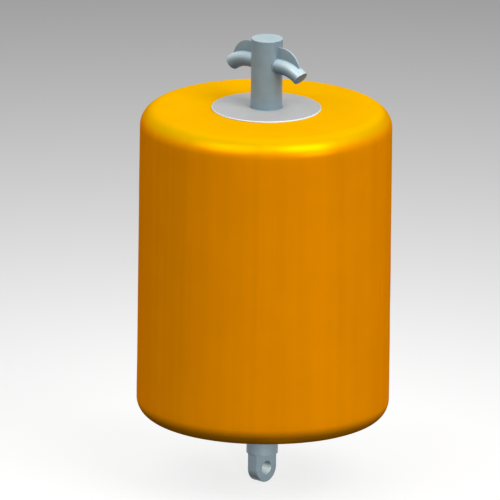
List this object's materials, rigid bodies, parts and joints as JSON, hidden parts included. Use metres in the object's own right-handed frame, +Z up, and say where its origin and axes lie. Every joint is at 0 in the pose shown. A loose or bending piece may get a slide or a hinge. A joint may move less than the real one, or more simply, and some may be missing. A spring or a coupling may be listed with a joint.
{
  "type": "anchor buoy",
  "caption": "Round-edged cylindrical float on a steel through-pipe, with a horned lasso post on top and a shackle padeye below, for anchor pendants and moorings.",
  "frame": {"origin": "on the buoy's axis at the service waterline, 1.33 m above the float's bottom", "axes": "+Z up along the buoy's axis, +X along the right-hand horn and the padeye's hole"},
  "size_m": [1.75, 1.75, 3.187],
  "materials": {
    "float_skin": "sprayed elastomer skin, satin with a fine orange-peel texture",
    "steel": "blue-grey painted steel, satin",
    "flange_plate": "light grey primed plate with a bright worn rim"
  },
  "bodies": {
    "root": {"float_body": "float_skin", "centre_pipe": "steel", "post_cap": "steel", "top_flange": "flange_plate", "bottom_flange": "flange_plate", "horn_right": "steel", "horn_left": "steel", "gusset_right": "steel", "gusset_left": "steel", "padeye": "steel", "pipe_end_plates": "steel"}
  },
  "joints": []
}
